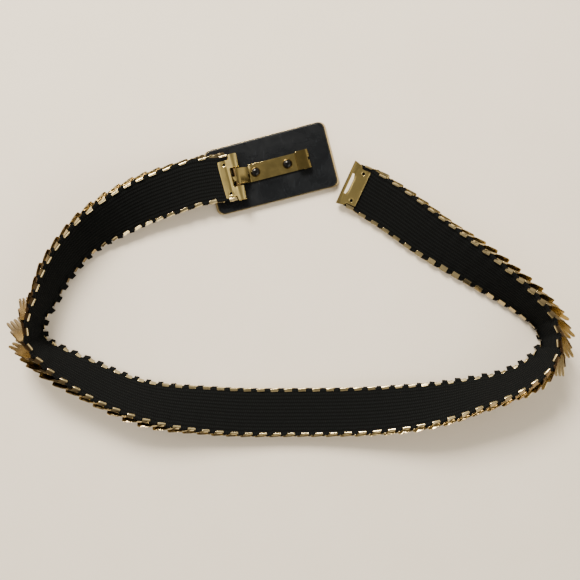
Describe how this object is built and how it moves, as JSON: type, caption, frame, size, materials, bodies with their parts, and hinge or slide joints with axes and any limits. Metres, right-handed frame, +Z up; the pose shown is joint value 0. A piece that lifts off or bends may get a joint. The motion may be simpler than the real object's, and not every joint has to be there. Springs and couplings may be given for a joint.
{
  "type": "stretch metal belt",
  "caption": "Stretch waist belt of overlapping gold metal plates on black ribbed elastic, lying open with its buckle face down.",
  "frame": {"origin": "on the table, under the middle of the box that holds the whole belt as it lies", "axes": "+X along the loop's length, towards the catch's side of the loop, +Y across the loop towards the buckle, +Z up from the table"},
  "size_m": [0.3632, 0.2086, 0.0329],
  "materials": {
    "elastic": "matte woven black elastic with lengthwise ribs",
    "plates": "thin gold plating, bright on the tabs and toned darker on the plates",
    "clamps": "plain rolled and folded sheet brass, half bright",
    "pin": "drawn wire",
    "buckle_front": "polished gold plating",
    "buckle_back": "charcoal, satin, lightly scratched"
  },
  "bodies": {
    "strap": {"elastic_band": "elastic", "scale_plates": "plates", "hinge_clamp": "clamps", "hinge_pin": "pin", "catch_clamp": "clamps"},
    "buckle": {"hook_bracket": "clamps", "buckle_back": "buckle_back", "buckle_front": "buckle_front"}
  },
  "joints": [
    {"name": "buckle_hinge", "type": "hinge", "parent": "strap", "child": "buckle", "pos_m": [-0.03567, 0.06796, 0.0105], "axis": [0.247, -0.969, 0], "range_deg": [0, 120]}
  ]
}
